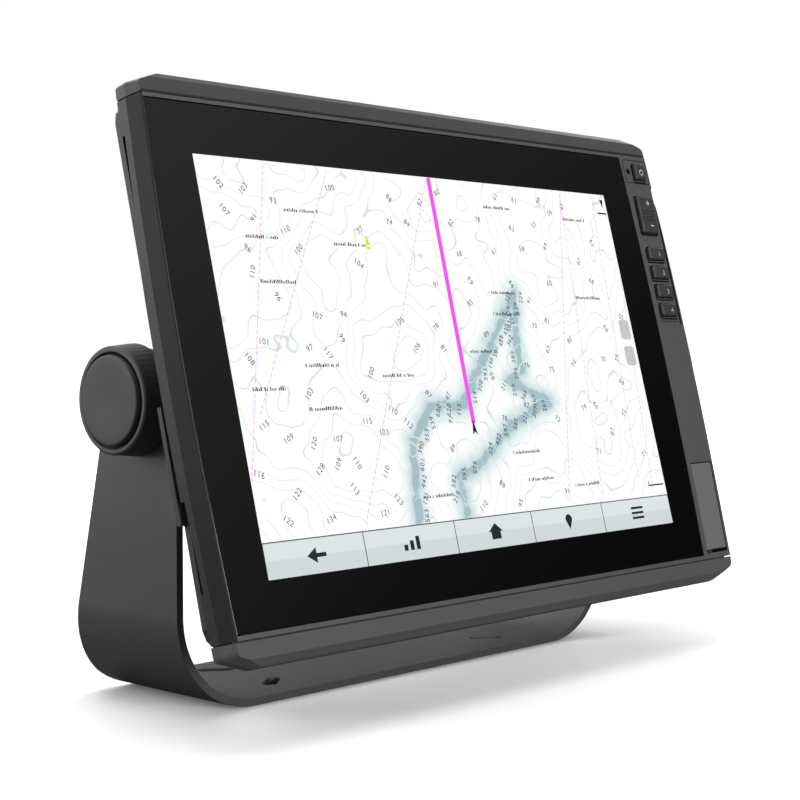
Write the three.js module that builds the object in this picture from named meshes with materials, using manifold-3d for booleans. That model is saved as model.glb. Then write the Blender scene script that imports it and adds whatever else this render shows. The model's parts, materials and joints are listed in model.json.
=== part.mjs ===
// A chartplotter display on a tilting bail bracket.
// Millimetres. +X right, +Y to the rear, +Z up. The origin is the centre of the bracket base's underside.
// The head's own pieces are drawn upright, with y = 0 at its front face and x = z = 0 at its centre,
// and a nested group leans them back about the knobs' axis.

import * as THREE from 'three';
import { mergeVertices } from 'three/addons/utils/BufferGeometryUtils.js';
import Module from 'manifold-3d';

const wasm = await Module();
wasm.setup();

// ---- driving dimensions ----------------------------------------------------------------------------

const GAP = 0.3; // clearance between pieces that meet

// bracket
const SHEET = 3.2;
const BRACKET_HALF_WIDTH = 139;
const BASE_HALF_DEPTH = 35.9;
const BEND_RADIUS = 40.5; // outside of the bend
const EYE_RADIUS = 20.5; // rounded top of each arm
const ARM_FLARE = 0.23; // how far the rear edge runs back for each millimetre down the sheet
const STUD_HOLE_RADIUS = 5.6;
const SLOT = { x: 71, rear: 20, front: -16, length: 16.6, width: 6.2, turn: 38 };

// tilt axis, and how far the head leans back at rest
const PIVOT = { y: -13.1, z: 125 };
const TILT = THREE.MathUtils.degToRad(14.8);
const PIVOT_DEPTH = 59.8; // from the head's front face back to the tilt axis
const PIVOT_DROP = 1.3; // tilt axis below the head's centre

// head outline
const HALF_WIDTH = 166.5;
const HALF_HEIGHT = 113.6;
const SIDE_BOW = 3.2; // the sides pull in this much at the trim joints
const FRAME_HALF_HEIGHT = 102.75; // where the trim caps begin
const TRIM_JOINT = 0.5;
const FRAME_DEPTH = 12.8;
const CREASE_DEPTH = 7.5; // the side's front facet ends here
const CORNER = { flat: 149, slope: THREE.MathUtils.degToRad(19), radius: 2.2 };

// glass and display
const GLASS = { x: -11.3, z: 0.1, halfWidth: 152.6, halfHeight: 100.8, bow: 2.9, front: 0.2, back: 1.8 };
const DISPLAY = { x: -11.8, z: -1.4, halfWidth: 139, halfHeight: 92 };
const LEDGE = { front: 3.4, back: 5 }; // the frame's shelf behind the glass

// rear housing
const FLANGE = { halfWidth: 162, halfHeight: 104.4, front: 14.9, back: 17.7 };
const WALL = 2.6;
const BACK_WALL = 11; // the heat sink's base is thicker than the sides
const BACK_DEPTH = 66; // back wall of the housing
const FIN_DEPTH = 76.4;
const EAR_HALF_WIDTH = 133.4;
const EAR_RADIUS = 17;

// knobs, measured outward from the arm's outer face
const KNOB = { start: 1, face: 13.7, crown: 15.1, baseRadius: 22.3, rimRadius: 21.3, crownRadius: 17.8 };
const STUD_RADIUS = 4.8;

// keys, measured in the key column on the right of the glass
const KEY = { proud: 1.6, width: 13.4, inset: 5.5, wall: 2.6, flange: 1, slack: 0.35 };
const SOFTKEY = { top: 51.4, pitch: 9.7, height: 6.7, count: 4 };
const ROCKER = { z: 71.6, height: 19.2, flangeHeight: 7 };
const POWER = { z: 94.4, height: 8.5, width: 9.2, shift: 2.4 };

// card door
const DOOR = {
  top: -55.9, bottom: -98.4, front: 0.2, back: 2.9,
  fromGlass: 3.9, fromSide: 4.1, pinDrop: 1.7, pinRadius: 0.7,
};

// ---- making and joining solids ---------------------------------------------------------------------

// A closed geometry as a solid that can be joined and cut, with its faces pointing out.
function solid(geometry) {
  const plain = geometry.index ? geometry.toNonIndexed() : geometry.clone();
  plain.deleteAttribute('normal');
  plain.deleteAttribute('uv');
  const merged = mergeVertices(plain, 1e-4);
  const corners = merged.index.array;
  const faces = [];
  for (let i = 0; i < corners.length; i += 3) {
    const [a, b, c] = [corners[i], corners[i + 1], corners[i + 2]];
    if (a !== b && b !== c && a !== c) faces.push([a, b, c]);
  }
  const build = (list) => new wasm.Manifold(new wasm.Mesh({
    numProp: 3,
    vertProperties: merged.attributes.position.array,
    triVerts: new Uint32Array(list.flat()),
  }));
  const made = build(faces);
  return made.volume() > 0 ? made : build(faces.map(([a, b, c]) => [a, c, b]));
}

const join = (first, ...rest) => rest.reduce((all, one) => all.add(one), first);
const cut = (first, ...rest) => rest.reduce((all, one) => all.subtract(one), first);
const common = (first, ...rest) => rest.reduce((all, one) => all.intersect(one), first);

function geometryOf(shape) {
  const mesh = shape.getMesh();
  const geometry = new THREE.BufferGeometry();
  geometry.setAttribute('position', new THREE.BufferAttribute(mesh.vertProperties, 3));
  geometry.setIndex(new THREE.BufferAttribute(mesh.triVerts, 1));
  const faceted = geometry.toNonIndexed();
  faceted.computeVertexNormals();
  return faceted;
}

// A box between two values on each axis.
function block([x0, x1], [y0, y1], [z0, z1]) {
  const geometry = new THREE.BoxGeometry(x1 - x0, y1 - y0, z1 - z0);
  return solid(geometry.translate((x0 + x1) / 2, (y0 + y1) / 2, (z0 + z1) / 2));
}

// A round bar along an axis from one value to another; at gives the other two coordinates.
function rod(axis, radius, [from, to], at, sides = 24) {
  const geometry = new THREE.CylinderGeometry(radius, radius, to - from, sides);
  geometry.translate(0, (from + to) / 2, 0);
  return solid(alongAxis(geometry, axis, at));
}

// A turned piece: profile is a list of [distance along the axis, radius].
function turned(axis, profile, at, sides = 36) {
  const points = profile.map(([along, radius]) => new THREE.Vector2(radius, along));
  return solid(alongAxis(new THREE.LatheGeometry(points, sides), axis, at));
}

function alongAxis(geometry, axis, [u, v]) {
  if (axis === 'x') return geometry.rotateZ(-Math.PI / 2).translate(0, u, v);
  if (axis === 'y') return geometry.translate(u, 0, v);
  return geometry.rotateX(Math.PI / 2).translate(u, v, 0);
}

// An outline of [x, z] points pushed along Y, with optional holes.
function plate(outline, [y0, y1], ...holes) {
  const shape = shapeOf(outline);
  shape.holes = holes.map((hole) => new THREE.Path(hole.map(([x, z]) => new THREE.Vector2(x, z))));
  const geometry = new THREE.ExtrudeGeometry(shape, { depth: y1 - y0, bevelEnabled: false });
  return solid(geometry.rotateX(Math.PI / 2).translate(0, y1, 0));
}

// An outline of [y, z] points pushed along X.
function profileAlongX(outline, [x0, x1]) {
  const geometry = new THREE.ExtrudeGeometry(shapeOf(outline), { depth: x1 - x0, bevelEnabled: false });
  const turn = new THREE.Matrix4().makeBasis(
    new THREE.Vector3(0, 1, 0), new THREE.Vector3(0, 0, 1), new THREE.Vector3(1, 0, 0));
  return solid(geometry.applyMatrix4(turn).translate(x0, 0, 0));
}

// An outline of [x, y] points pushed along Z.
function profileAlongZ(outline, [z0, z1]) {
  const geometry = new THREE.ExtrudeGeometry(shapeOf(outline), { depth: z1 - z0, bevelEnabled: false });
  return solid(geometry.translate(0, 0, z0));
}

function shapeOf(outline) {
  return new THREE.Shape(outline.map(([u, v]) => new THREE.Vector2(u, v)));
}

// A skin over outlines of [x, z] points that all have the same number of points, closed at both ends.
function loft(sections) {
  const count = sections[0].outline.length;
  const positions = [];
  const faces = [];
  for (const { y, outline } of sections) {
    for (const [x, z] of outline) positions.push(x, y, z);
  }
  for (let s = 0; s + 1 < sections.length; s++) {
    for (let i = 0; i < count; i++) {
      const a = s * count + i;
      const b = s * count + (i + 1) % count;
      faces.push(a, b, a + count, b, b + count, a + count);
    }
  }
  const last = (sections.length - 1) * count;
  for (let i = 1; i + 1 < count; i++) {
    faces.push(0, i + 1, i);
    faces.push(last, last + i, last + i + 1);
  }
  const geometry = new THREE.BufferGeometry();
  geometry.setAttribute('position', new THREE.Float32BufferAttribute(positions, 3));
  geometry.setIndex(faces);
  return solid(geometry);
}

// ---- outlines --------------------------------------------------------------------------------------

function arc([u, v], radius, from, to, steps) {
  return Array.from({ length: steps + 1 }, (_, i) => {
    const angle = from + (to - from) * i / steps;
    return [u + radius * Math.cos(angle), v + radius * Math.sin(angle)];
  });
}

// A quarter outline in the corner where both values are positive, mirrored into all four.
function fourfold(quarter) {
  const flip = (points, sx, sz) => points.map(([x, z]) => [sx * x, sz * z]);
  const back = [...quarter].reverse();
  return [
    ...quarter,
    ...flip(back.slice(0, -1), -1, 1),
    ...flip(quarter, -1, -1),
    ...flip(back.slice(0, -1), 1, -1),
  ];
}

function shifted(outline, dx, dz) {
  return outline.map(([x, z]) => [x + dx, z + dz]);
}

function roundedRect(halfWidth, halfHeight, radius, steps = 3) {
  const corner = arc([halfWidth - radius, halfHeight - radius], radius, 0, Math.PI / 2, steps);
  return fourfold([[halfWidth, 0], ...corner]);
}

// Half-width of a bowed side at height z.
const bowed = (halfWidth, bow, z) => halfWidth - bow * (z / FRAME_HALF_HEIGHT) ** 2;

const headSide = (z) => bowed(HALF_WIDTH, SIDE_BOW, z);
const glassEdge = (z) => GLASS.x + bowed(GLASS.halfWidth, GLASS.bow, z);

// The head seen from the front: bowed sides, and corners that slope down to a small round.
function headOutline(inset) {
  const top = HALF_HEIGHT - inset;
  const side = headSide(FRAME_HALF_HEIGHT) - inset - CORNER.radius;
  const fall = Math.tan(CORNER.slope) * (side - CORNER.flat);
  const centre = top - fall - CORNER.radius / Math.cos(CORNER.slope);
  const heights = [0, 0.2, 0.4, 0.6, 0.8].map((part) => part * centre);
  const sides = heights.map((z) => [headSide(z) - inset, z]);
  const round = arc([side, centre], CORNER.radius, 0, Math.PI / 2 - CORNER.slope, 3);
  return fourfold([...sides, ...round, [CORNER.flat, top]]);
}

function glassOutline(grow) {
  const height = GLASS.halfHeight + grow;
  const heights = [0, 0.25, 0.5, 0.75, 1].map((part) => part * height);
  const quarter = heights.map((z) => [bowed(GLASS.halfWidth, GLASS.bow, z) + grow, z]);
  return shifted(fourfold(quarter), GLASS.x, GLASS.z);
}

// A rounded rectangle centred on the display.
function onDisplay(halfWidth, halfHeight, radius) {
  return shifted(roundedRect(halfWidth, halfHeight, radius), DISPLAY.x, DISPLAY.z);
}

// ---- materials -------------------------------------------------------------------------------------

function paint(color, roughness, metalness = 0) {
  return new THREE.MeshStandardMaterial({ color, roughness, metalness });
}
const MATERIAL = {
  bracket: paint(0x3a3b3c, 0.55, 0.2),
  knob: paint(0x38393a, 0.6),
  housing: paint(0x343536, 0.6),
  trim: paint(0x3c3d3e, 0.6),
  key: paint(0x2e2f30, 0.65),
  glass: paint(0x060607, 0.08),
  screen: paint(0xf2f5f5, 0.3),
  rubber: paint(0x191919, 0.85),
  steel: paint(0xa8aaac, 0.35, 0.9),
  brass: paint(0xb8944c, 0.4, 0.9),
  aluminium: paint(0x9da0a2, 0.5, 0.8),
  board: paint(0x1d5a33, 0.5),
  socket: paint(0x161617, 0.55),
  film: paint(0xb87b2c, 0.45),
  ceramic: paint(0xcfc9b8, 0.5),
};

// ---- bracket ---------------------------------------------------------------------------------------

// The sheet seen from the front: two arms and a base with wide bends, as a band of even thickness.
function bracketBand() {
  const inner = BEND_RADIUS - SHEET;
  const bend = BRACKET_HALF_WIDTH - BEND_RADIUS;
  const top = PIVOT.z + EYE_RADIUS + 1;
  const quarterTurn = Math.PI / 2;
  const steps = 9;
  return [
    [-BRACKET_HALF_WIDTH, top],
    ...arc([-bend, BEND_RADIUS], BEND_RADIUS, Math.PI, 3 * quarterTurn, steps),
    ...arc([bend, BEND_RADIUS], BEND_RADIUS, 3 * quarterTurn, 4 * quarterTurn, steps),
    [BRACKET_HALF_WIDTH, top],
    [BRACKET_HALF_WIDTH - SHEET, top],
    ...arc([bend, BEND_RADIUS], inner, 4 * quarterTurn, 3 * quarterTurn, steps),
    ...arc([-bend, BEND_RADIUS], inner, 3 * quarterTurn, Math.PI, steps),
    [-BRACKET_HALF_WIDTH + SHEET, top],
  ];
}

// The sheet from the side: a straight front edge, a round eye, and a rear edge that flares to the base.
function armOutline() {
  const lean = Math.atan(ARM_FLARE);
  const eye = arc([PIVOT.y, PIVOT.z], EYE_RADIUS, Math.PI, lean, 10);
  const [eyeY, eyeZ] = eye.at(-1);
  const bendY = eyeY + ARM_FLARE * (eyeZ - BEND_RADIUS);
  const turn = (BASE_HALF_DEPTH - bendY) / (ARM_FLARE * BEND_RADIUS);
  const flare = [0, 0.25, 0.5, 0.75, 1].map((part) => [
    bendY + ARM_FLARE * BEND_RADIUS * turn * part,
    BEND_RADIUS * (1 - Math.sin(turn * part)),
  ]);
  return [[-BASE_HALF_DEPTH, -1], [-BASE_HALF_DEPTH, 85], ...eye, ...flare, [BASE_HALF_DEPTH, -1]];
}

// A slot in the base, its long axis turned from X.
function baseSlot(x, y, turn) {
  const half = (SLOT.length - SLOT.width) / 2;
  const outline = fourfold([...arc([half, 0], SLOT.width / 2, 0, Math.PI / 2, 4)]);
  const geometry = new THREE.ExtrudeGeometry(shapeOf(outline), { depth: 3 * SHEET, bevelEnabled: false });
  return solid(geometry.rotateZ(THREE.MathUtils.degToRad(turn)).translate(x, y, -SHEET));
}

function bailBracket() {
  const band = plate(bracketBand(), [-BASE_HALF_DEPTH, BASE_HALF_DEPTH]);
  const across = [-BRACKET_HALF_WIDTH - 1, BRACKET_HALF_WIDTH + 1];
  const arms = profileAlongX(armOutline(), across);
  const studHoles = rod('x', STUD_HOLE_RADIUS, across, [PIVOT.y, PIVOT.z]);
  return cut(
    common(band, arms),
    studHoles,
    baseSlot(-SLOT.x, SLOT.front, SLOT.turn),
    baseSlot(SLOT.x, SLOT.front, -SLOT.turn),
    baseSlot(-SLOT.x, SLOT.rear, -SLOT.turn),
    baseSlot(SLOT.x, SLOT.rear, SLOT.turn),
  );
}

// ---- knobs, studs and washers ----------------------------------------------------------------------

// Each is drawn for the right-hand side about the tilt axis, with x measured from the bracket's centre.
const ARM_FACE = BRACKET_HALF_WIDTH;
const WASHER = { radius: 14, thickness: 1.8 };

function knobShell() {
  const { start, face, baseRadius, rimRadius, crownRadius } = KNOB;
  const pocket = WASHER.radius + GAP;
  const washerTop = GAP + WASHER.thickness + GAP;
  return turned('x', [
    [start, pocket], [start, baseRadius - 0.8], [start + 0.8, baseRadius],
    [face - 1.1, rimRadius + 0.3], [face - 0.3, rimRadius - 0.3], [face, rimRadius - 1.1],
    [face, crownRadius + 1.3], [face - 1.1, crownRadius + 0.9], [face - 1.1, crownRadius - 2],
    [face - 3, crownRadius - 2], [face - 3, STUD_RADIUS + GAP], [washerTop, STUD_RADIUS + GAP],
    [washerTop, pocket], [start, pocket],
  ].map(([along, radius]) => [ARM_FACE + along, radius]), [0, 0], 30);
}

function knobCrown() {
  const { face, crown, crownRadius } = KNOB;
  return turned('x', [
    [face - 2.7, 0], [face - 2.7, crownRadius - 2 - GAP], [face - 0.8, crownRadius - 2 - GAP],
    [face - 0.8, crownRadius + 0.4], [crown - 0.5, crownRadius], [crown, crownRadius - 0.7],
    [crown - 0.4, crownRadius * 0.6], [crown - 0.5, 0],
  ].map(([along, radius]) => [ARM_FACE + along, radius]), [0, 0], 30);
}

const knobStud = () => turned('x', [
  [EAR_HALF_WIDTH - 13, 0], [EAR_HALF_WIDTH - 13, STUD_RADIUS - 1], [EAR_HALF_WIDTH - 12, STUD_RADIUS],
  [ARM_FACE + KNOB.face - 3.3, STUD_RADIUS], [ARM_FACE + KNOB.face - 3.3, 0],
], [0, 0], 20);

function ring(outer, inner, [from, to]) {
  return turned('x', [[from, inner], [from, outer], [to, outer], [to, inner], [from, inner]], [0, 0], 20);
}

function outerWasher() {
  const start = ARM_FACE + GAP;
  return ring(WASHER.radius, STUD_RADIUS + GAP, [start, start + WASHER.thickness]);
}

const innerWasher = () => ring(16, STUD_HOLE_RADIUS, [EAR_HALF_WIDTH + GAP, ARM_FACE - SHEET - GAP]);
const earInsert = () => ring(7, STUD_RADIUS + GAP, [EAR_HALF_WIDTH - 16, EAR_HALF_WIDTH - 0.2]);

// ---- screws that hold the two halves of the head together ------------------------------------------

const SCREWS = [98.4, -98.4].flatMap((z) => [-136, -50, 50, 136].map((x) => [x, z]));
const SCREW = { shank: 1.6, head: 3.1, tip: 6.6, headHeight: 2.3 };

function housingScrew([x, z]) {
  const seat = FLANGE.back + GAP;
  const shape = turned('y', [
    [SCREW.tip, 0], [SCREW.tip, 0.8], [SCREW.tip + 1, SCREW.shank], [seat, SCREW.shank],
    [seat, SCREW.head], [seat + SCREW.headHeight, SCREW.head - 0.5], [seat + SCREW.headHeight, 0],
  ], [x, z], 12);
  const socket = rod('y', 1.3, [seat + 1, seat + 4], [x, z], 6);
  return cut(shape, socket);
}

// Four holes behind the trim caps, for fastening the head flush in a panel.
const FLUSH_HOLES = [107.8, -107.8].flatMap((z) => [-139, 139].map((x) => [x, z]));
const FLUSH_HOLE_RADIUS = 2.2;

// ---- front frame and trim caps ---------------------------------------------------------------------

// The whole head body's skin, with its bevelled front edge and creased sides.
const headBody = () => loft([
  { y: 0, outline: headOutline(2) },
  { y: 0.5, outline: headOutline(1.5) },
  { y: CREASE_DEPTH, outline: headOutline(0) },
  { y: FRAME_DEPTH, outline: headOutline(0) },
]);

const keyX = (z) => glassEdge(z) + KEY.inset + KEY.width / 2;

// Where each key sits: name, centre, width and height.
function keyPlaces() {
  const softkeys = Array.from({ length: SOFTKEY.count }, (_, i) => {
    const z = SOFTKEY.top - i * SOFTKEY.pitch;
    return { name: `softkey_${i + 1}`, x: keyX(z), z, width: KEY.width, height: SOFTKEY.height };
  });
  return [
    { ...POWER, name: 'power_key', x: keyX(POWER.z) + POWER.shift },
    { ...ROCKER, name: 'zoom_rocker', x: keyX(ROCKER.z), width: KEY.width },
    ...softkeys,
  ];
}

// A slanting pair of side edges for the card door, which follow the glass and the frame's own edge.
function doorOutline(grow) {
  const top = DOOR.top + grow;
  const bottom = DOOR.bottom - (grow > 0 ? 1.8 : 0);
  const left = (z) => glassEdge(z) + DOOR.fromGlass - grow;
  const right = (z) => headSide(z) - DOOR.fromSide + grow;
  return [[left(bottom), bottom], [right(bottom), bottom], [right(top), top], [left(top), top]];
}

const doorPin = () => ({ y: (DOOR.front + DOOR.back) / 2, z: DOOR.top - DOOR.pinDrop });

const SENSOR = { x: 144.4, z: 94.3, radius: 1.3 };
const KEY_BAY = { left: 144, right: 161.4, bottom: 14, top: 101 };
const RELIEF_HEIGHTS = [[55, 89], [-84, -50]]; // shallow reliefs in the frame's rear edge

const screwHoles = (reach) => SCREWS.map((at) => rod('y', SCREW.shank + GAP, reach, at, 12));

function frontFrame() {
  const height = [-FRAME_HALF_HEIGHT, FRAME_HALF_HEIGHT];
  const core = common(headBody(), block([-200, 200], [-1, FRAME_DEPTH + 1], height));
  const ledge = loft([
    { y: LEDGE.front, outline: headOutline(2.3) },
    { y: FRAME_DEPTH, outline: headOutline(2.3) },
  ]);
  const glassSeat = plate(glassOutline(GAP), [-1, LEDGE.front]);
  const opening = plate(
    onDisplay(DISPLAY.halfWidth + 3, DISPLAY.halfHeight + 3, 2), [LEDGE.front - 1, LEDGE.back + 1]);
  const cavity = plate(roundedRect(158, 101, 6), [LEDGE.back, FRAME_DEPTH + 1]);
  const keyBay = block(
    [KEY_BAY.left, KEY_BAY.right], [KEY.wall, LEDGE.back + 4], [KEY_BAY.bottom, KEY_BAY.top]);
  const keyHoles = keyPlaces().map(({ x, z, width, height }) => plate(
    shifted(roundedRect(width / 2 + KEY.slack, height / 2 + KEY.slack, 1.2, 2), x, z), [-1, KEY.wall + 1]));
  const scoop = plate([[161.4, 14.5], [163.2, 15.8], [163.2, 86], [161.4, 88]], [-1, 1.1]);
  const cardBay = plate(doorOutline(0.5), [-1, FRAME_DEPTH - 4]);
  const pin = doorPin();
  const pinReach = [glassEdge(pin.z) + 2, headSide(pin.z) - 2.4];
  const pinSeat = rod('x', DOOR.pinRadius + GAP, pinReach, [pin.y, pin.z], 12);
  const sensorHole = rod('y', SENSOR.radius + GAP, [-1, LEDGE.back], [SENSOR.x, SENSOR.z], 16);
  const bosses = SCREWS.map(([x, z]) => rod('y', 4.6, [LEDGE.back - 1, FRAME_DEPTH], [x, z], 16));
  const flushHoles = FLUSH_HOLES.map((at) => rod('y', FLUSH_HOLE_RADIUS, [0, FRAME_DEPTH + 1], at, 12));
  const reliefs = [1, -1].flatMap((side) => RELIEF_HEIGHTS.map((heights) => {
    const edges = [side * 170, side * 162.5].sort((a, b) => a - b);
    return block(edges, [FRAME_DEPTH - 2, FRAME_DEPTH + 1], heights);
  }));
  const shell = cut(join(core, ledge), cavity, glassSeat, opening, keyBay, cardBay, scoop, ...reliefs);
  const threads = screwHoles([SCREW.tip - GAP, FRAME_DEPTH + 1]);
  return cut(join(shell, ...bosses), ...threads, ...keyHoles, pinSeat, sensorHole, ...flushHoles);
}

// The trim caps' section: a front facet that leans back, a steep bevel, and a flat top.
function trimCap(up) {
  const z0 = FRAME_HALF_HEIGHT + TRIM_JOINT;
  const facet = [[0.6, z0], [0, z0 + 0.7], [1.3, 109.9]];
  const section = [...facet, [5.2, HALF_HEIGHT], [FRAME_DEPTH, HALF_HEIGHT], [FRAME_DEPTH, z0]];
  const placed = section.map(([y, z]) => [y, up * z]);
  const hollow = loft([
    { y: LEDGE.front - GAP, outline: headOutline(2) },
    { y: FRAME_DEPTH + 1, outline: headOutline(2) },
  ]);
  return cut(common(headBody(), profileAlongX(placed, [-180, 180])), hollow);
}

// ---- glass, display and what carries them ----------------------------------------------------------

const coverGlass = () => plate(glassOutline(0), [GLASS.front, GLASS.back]);

function glassAdhesive() {
  const opening = onDisplay(DISPLAY.halfWidth + 4, DISPLAY.halfHeight + 4, 2);
  return plate(glassOutline(-1), [GLASS.back + GAP, LEDGE.front - GAP], opening);
}

const lcdPanel = () => plate(onDisplay(DISPLAY.halfWidth - 1, DISPLAY.halfHeight - 2, 1), [3.4, 4.6]);
const backlightUnit = () => plate(onDisplay(DISPLAY.halfWidth, DISPLAY.halfHeight, 2), [5.3, 8.7]);

const MAIN_BOARD = { halfWidth: 98, bottom: -10, top: 74, front: 46, back: 47.6 };
const IO_BOARD = { halfWidth: 95, bottom: -76, top: -14, front: 42, back: 43.6 };
const CHASSIS = { halfWidth: 138, halfHeight: 89, front: 9.2, back: 10.2 };

function displayChassis() {
  const sheet = plate(onDisplay(CHASSIS.halfWidth, CHASSIS.halfHeight, 5), [CHASSIS.front, CHASSIS.back]);
  const post = (x, z, to) => rod('y', 3, [CHASSIS.back - 0.5, to - GAP], [x, z], 12);
  const mainPosts = [-90, 90].flatMap((x) => [-4, 68].map((z) => post(x, z, MAIN_BOARD.front)));
  const ioPosts = [-88, 88].flatMap((x) => [-70, -20].map((z) => post(x, z, IO_BOARD.front)));
  return join(sheet, ...mainPosts, ...ioPosts);
}

function mainBoard() {
  const { halfWidth, bottom, top, front, back } = MAIN_BOARD;
  const sheet = block([-halfWidth, halfWidth], [front, back], [bottom, top]);
  const processor = block([-22, 22], [back - 0.1, back + 3], [16, 56]);
  const memory = [34, 52].map((x) => block([x, x + 12], [back - 0.1, back + 1.4], [28, 44]));
  const connector = block([-19, 5], [front - 1.6, front + 0.1], [-8, -2]);
  return join(sheet, processor, ...memory, connector);
}

function ioBoard() {
  const { halfWidth, bottom, top, front, back } = IO_BOARD;
  const sheet = block([-halfWidth, halfWidth], [front, back], [bottom, top]);
  const converters = [-40, 8].map((x) => block([x, x + 18], [front - 6, front + 0.1], [-40, -24]));
  return join(sheet, ...converters);
}

const heatSpreader = () => block(
  [-40, 40], [MAIN_BOARD.back + 3 + GAP, BACK_DEPTH - BACK_WALL - GAP], [10, 62]);
function boardShield() {
  const { halfWidth, bottom, top, back } = MAIN_BOARD;
  const can = block([-halfWidth + 3, halfWidth - 3], [back + GAP, back + 5], [bottom + 3, top - 3]);
  const inside = block([-halfWidth + 4, halfWidth - 4], [back, back + 4], [bottom + 4, top - 4]);
  const window_ = block([-41, 41], [back, back + 6], [9, 63]);
  return cut(can, inside, window_);
}

const gpsAntenna = () => block([96, 121], [CHASSIS.back + GAP, CHASSIS.back + 6], [58, 83]);
const backupBattery = () => rod('y', 10, [MAIN_BOARD.front - 3.5, MAIN_BOARD.front - GAP], [66, 14], 24);
const buzzer = () => rod('y', 6, [IO_BOARD.front - 7, IO_BOARD.front - GAP], [66, -44], 20);

// A flat cable of even thickness that follows a bent line of points, pushed along the third axis.
function bentStrip(points, thickness) {
  const sides = [1, -1].map((side) => points.map(([u, v], i) => {
    const [u0, v0] = points[Math.max(i - 1, 0)];
    const [u1, v1] = points[Math.min(i + 1, points.length - 1)];
    const along = new THREE.Vector2(u1 - u0, v1 - v0).normalize();
    return [u - side * along.y * thickness / 2, v + side * along.x * thickness / 2];
  }));
  return [...sides[0], ...sides[1].reverse()];
}

// From the display's lower edge round the chassis and up to the main board: depth and height.
const LCD_RIBBON = [
  [6, -94], [6, -97], [12.8, -97], [13.6, -89.5], [36, -62], [39, -18], [41, -9], [44, -6],
];
// From the keypad back to the main board: distance to the right, and depth.
const KEYPAD_RIBBON = [[150, 8.6], [150, 11.5], [146.8, 13.4], [134, 20], [104, 40], [92, 45.2]];
const RIBBON_THICKNESS = 0.5;

const lcdRibbon = () => profileAlongX(bentStrip(LCD_RIBBON, RIBBON_THICKNESS), [-17, 3]);
const keypadRibbon = () => profileAlongZ(bentStrip(KEYPAD_RIBBON, RIBBON_THICKNESS), [40, 50]);

// ---- keys ------------------------------------------------------------------------------------------

// A key: a proud cap with eased edges, and a flange behind the frame's wall that is full height or, for the
// rocker, a short one it can rock on.
function keyCap({ x, z, width, height, flangeHeight = height + 2 * KEY.flange }) {
  const at = (inset, radius) => {
    const outline = roundedRect(width / 2 - inset, height / 2 - inset, radius, 2);
    return shifted(outline, x, z);
  };
  const cap = loft([
    { y: -KEY.proud, outline: at(0.8, 0.6) },
    { y: -KEY.proud + 0.6, outline: at(0.2, 1) },
    { y: KEY.wall + 1, outline: at(0, 1) },
  ]);
  const flange = plate(
    shifted(roundedRect(width / 2 + KEY.flange, flangeHeight / 2, 1.2, 2), x, z),
    [KEY.wall + GAP, KEY.wall + GAP + 0.9]);
  return join(cap, flange);
}

const MEMBRANE = { front: 5, back: 6.2 };
const BOARD_THICKNESS = 1.6;
const keypadMembrane = () => block(
  [KEY_BAY.left + 0.4, KEY_BAY.right - 0.4],
  [MEMBRANE.front, MEMBRANE.back],
  [KEY_BAY.bottom + 0.6, KEY_BAY.top - 0.4]);
const keypadBoard = () => block(
  [KEY_BAY.left + 0.6, KEY_BAY.right - 3.8],
  [MEMBRANE.back + GAP, MEMBRANE.back + GAP + BOARD_THICKNESS],
  [KEY_BAY.bottom + 1, KEY_BAY.top - 1]);
const lightSensor = () => rod('y', SENSOR.radius, [0.1, MEMBRANE.front - GAP], [SENSOR.x, SENSOR.z], 16);

// ---- card door and reader --------------------------------------------------------------------------

function cardDoor() {
  const pin = doorPin();
  const hole = rod('x', DOOR.pinRadius + 0.25, [100, 200], [pin.y, pin.z], 12);
  return cut(plate(doorOutline(0), [DOOR.front, DOOR.back]), hole);
}

function cardDoorPin() {
  const pin = doorPin();
  return rod('x', DOOR.pinRadius, [glassEdge(pin.z) + 2.4, headSide(pin.z) - 2.8], [pin.y, pin.z], 12);
}

function cardDoorSeal() {
  const x = (glassEdge(-78) + DOOR.fromGlass + headSide(-78) - DOOR.fromSide) / 2;
  const outer = shifted(roundedRect(7, 17.5, 1.5, 2), x, -79.5);
  const inner = shifted(roundedRect(5.8, 16.3, 1, 2), x, -79.5);
  return plate(outer, [DOOR.back + GAP, DOOR.back + GAP + 1.2], inner);
}

function cardReader() {
  const body = block([143.2, 157.4], [6.4, 12.6], [-94.4, -62]);
  const slots = [-71, -86].map((z) => block([144.8, 155.8], [5, 11], [z - 0.6, z + 0.6]));
  return cut(body, ...slots);
}

// ---- rear housing and what goes through it ---------------------------------------------------------

const SOCKETS = [
  { name: 'power_socket', x: -80, radius: 8.6 },
  { name: 'data_bus_socket', x: -46, radius: 7.4 },
  { name: 'network_socket_a', x: -12, radius: 8 },
  { name: 'network_socket_b', x: 22, radius: 8 },
  { name: 'sonar_socket', x: 60, radius: 9.8 },
];
const SOCKET_Z = -46;
const PANEL_DEPTH = BACK_DEPTH + 2;
const VENT = { x: 92, z: -30, radius: 5 };

// The housing narrows towards the back: depth, half-width, half-height and corner radius of each section.
const SKIN = [
  [FLANGE.back - 1, 148, 94, 10],
  [38, 128, 90, 14],
  [BACK_DEPTH - 6, 114, 84, 14],
  [BACK_DEPTH, 106, 78, 10],
];
const housingSkin = (inset) => SKIN.map(([y, halfWidth, halfHeight, radius]) => (
  { y, outline: roundedRect(halfWidth - inset, halfHeight - inset, Math.max(radius - inset, 2)) }));
const FIN = { count: 15, pitch: 13, halfThickness: 1.6, bottom: -6, top: 72 };
const EAR_RIB = 8; // half the height of the rib that ties each ear to the housing

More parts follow.
